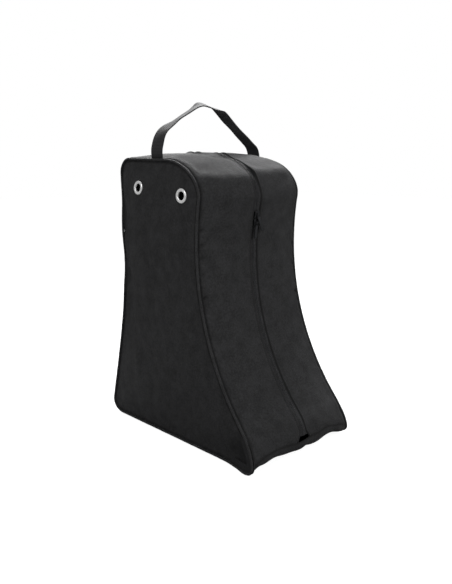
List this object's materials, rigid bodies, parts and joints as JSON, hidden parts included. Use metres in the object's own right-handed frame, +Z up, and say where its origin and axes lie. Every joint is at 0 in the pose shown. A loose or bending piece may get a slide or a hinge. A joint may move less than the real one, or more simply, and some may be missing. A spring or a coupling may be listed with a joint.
{
  "type": "shoe bag",
  "caption": "Boot-shaped fabric shoe bag with piped side panels, a two-way zip up the front and over the top, metal eyelets and a webbing carry handle.",
  "frame": {"origin": "middle of the bag's footprint, on the floor under the base", "axes": "+X across the bag's width, to the right as seen from its zipped front; +Y from toe to heel; +Z up to the handle"},
  "size_m": [0.2078, 0.3344, 0.5001],
  "materials": {
    "cloth": "matte",
    "piping": "matte",
    "piping_core": "matte",
    "binding": "matte",
    "webbing": "matte",
    "zip_tape": "matte",
    "zip_coil": "satin",
    "zip_metal": "satin",
    "eyelet_metal": "gloss"
  },
  "bodies": {
    "bag": {"left_side_panel": "cloth", "left_gusset": "cloth", "left_piping_cover": "piping", "left_piping_cord": "piping_core", "left_seam_binding": "binding", "left_zip_tape": "zip_tape", "left_zip_coil": "zip_coil", "left_handle_tail": "webbing", "left_front_eyelet": "eyelet_metal", "left_front_washer": "eyelet_metal", "left_back_eyelet": "eyelet_metal", "left_back_washer": "eyelet_metal", "right_side_panel": "cloth", "right_gusset": "cloth", "right_piping_cover": "piping", "right_piping_cord": "piping_core", "right_seam_binding": "binding", "right_zip_tape": "zip_tape", "right_zip_coil": "zip_coil", "right_handle_tail": "webbing", "right_front_eyelet": "eyelet_metal", "right_front_washer": "eyelet_metal", "right_back_eyelet": "eyelet_metal", "right_back_washer": "eyelet_metal", "base_and_back_panel": "cloth"},
    "upper_slider": {"upper_zip_slider": "zip_metal"},
    "lower_slider": {"lower_zip_slider": "zip_metal"},
    "upper_puller": {"upper_zip_puller": "zip_metal"},
    "lower_puller": {"lower_zip_puller": "zip_metal"},
    "handle": {"carry_handle": "webbing"}
  },
  "joints": [
    {"name": "upper_slider_travel", "type": "hinge", "parent": "bag", "child": "upper_slider", "pos_m": [0, -0.398, 0.286], "axis": [1, 0, 0], "range_deg": [0, 2.3]},
    {"name": "lower_slider_travel", "type": "hinge", "parent": "bag", "child": "lower_slider", "pos_m": [0, -0.398, 0.286], "axis": [1, 0, 0], "range_deg": [-49, 0]},
    {"name": "upper_puller_swing", "type": "hinge", "parent": "upper_slider", "child": "upper_puller", "pos_m": [0, -0.07065, 0.34048], "axis": [1, 0, 0], "range_deg": [-165, 0]},
    {"name": "lower_puller_swing", "type": "hinge", "parent": "lower_slider", "child": "lower_puller", "pos_m": [0, -0.06886, 0.32833], "axis": [1, 0, 0], "range_deg": [-110, 0]},
    {"name": "handle_swing", "type": "hinge", "parent": "bag", "child": "handle", "pos_m": [0, 0.036, 0.4344], "axis": [1, 0, 0], "range_deg": [-80, 80]}
  ]
}
